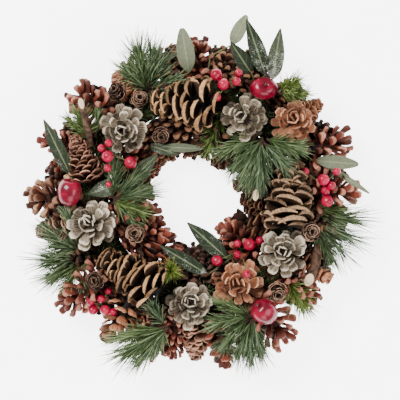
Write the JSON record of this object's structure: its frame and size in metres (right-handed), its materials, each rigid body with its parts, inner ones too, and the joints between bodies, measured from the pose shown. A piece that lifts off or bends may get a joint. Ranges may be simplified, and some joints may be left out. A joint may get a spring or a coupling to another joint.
{
  "type": "wreath",
  "caption": "Round wreath of open and closed cones, pine sprays, frosted leaves, small apples and berry clusters set close together on a ring of wound vine.",
  "frame": {"origin": "centre of the wreath's outline, on the plane that its back rests on", "axes": "+Z out of the wreath's face, along its thickness; +Y towards the wreath's top; +X to the right as seen from the front"},
  "size_m": [0.351, 0.3518, 0.082],
  "materials": {
    "vine": "rough brown vine stems, matte",
    "frosted_scale": "dry cone scales with a dusty cream frosting, matte",
    "red_brown_scale": "dry red-brown cone scales, low sheen",
    "tan_scale": "dry golden-tan cone scales, low sheen",
    "dark_scale": "dry dark-brown cone scales, matte",
    "apple_red": "smooth crimson skin, glossy",
    "berry_red": "smooth raspberry-red skin, glossy, lightly frosted",
    "pine_green": "bluish and yellow-green needles, satin",
    "leaf_green": "grey-green leaf, matte, frosted along its edges",
    "bark": "grey-brown bark with a cream cut end, matte"
  },
  "bodies": {
    "root": {"vine_ring": "vine", "outer_cones_north": "dark_scale", "outer_cones_north_west": "red_brown_scale", "outer_cones_west": "red_brown_scale", "outer_cone_south_west": "red_brown_scale", "outer_cone_south_south_west": "tan_scale", "outer_cones_south": "dark_scale", "outer_cone_south_east": "red_brown_scale", "outer_cones_east_south_east": "red_brown_scale", "outer_cone_east": "tan_scale", "outer_cones_north_east": "red_brown_scale", "inner_cone_north": "dark_scale", "inner_cone_north_east": "dark_scale", "inner_cone_east": "dark_scale", "inner_cone_south_east": "red_brown_scale", "inner_cones_south": "red_brown_scale", "inner_cones_west": "red_brown_scale", "large_cone_north": "tan_scale", "large_cone_east": "tan_scale", "large_cone_south_west": "tan_scale", "frosted_cone_north_west": "frosted_scale", "frosted_cone_north_east": "frosted_scale", "frosted_cone_west": "frosted_scale", "frosted_cone_south": "frosted_scale", "frosted_cone_east": "frosted_scale", "brown_cone_north_east": "tan_scale", "brown_cone_south": "tan_scale", "slender_cone_west": "dark_scale", "larch_cone_north": "dark_scale", "larch_cone_north_west": "dark_scale", "larch_cone_inner_north": "dark_scale", "larch_cone_inner_west": "dark_scale", "larch_cone_south_west": "dark_scale", "larch_cone_east": "dark_scale", "larch_cone_south_east": "tan_scale", "leaves_north_east": "leaf_green", "leaf_west": "leaf_green", "leaves_inner_north": "leaf_green", "leaves_inner_west": "leaf_green", "leaves_east": "leaf_green", "apple_west": "apple_red", "apple_north_east": "apple_red", "apple_south_east": "apple_red", "twig_south_east": "bark", "berries_north_west": "berry_red", "berries_north": "berry_red", "berries_east": "berry_red", "berries_south_west": "berry_red", "berries_south_east": "berry_red", "spray_north": "pine_green", "spray_north_west": "pine_green", "spray_inner_east": "pine_green", "spray_east": "pine_green", "spray_south_east": "pine_green", "spray_south": "pine_green", "spray_south_south_west": "pine_green", "spray_west": "pine_green", "spray_north_east": "pine_green", "spray_inner_west": "pine_green", "spray_inner_south": "pine_green"}
  },
  "joints": []
}
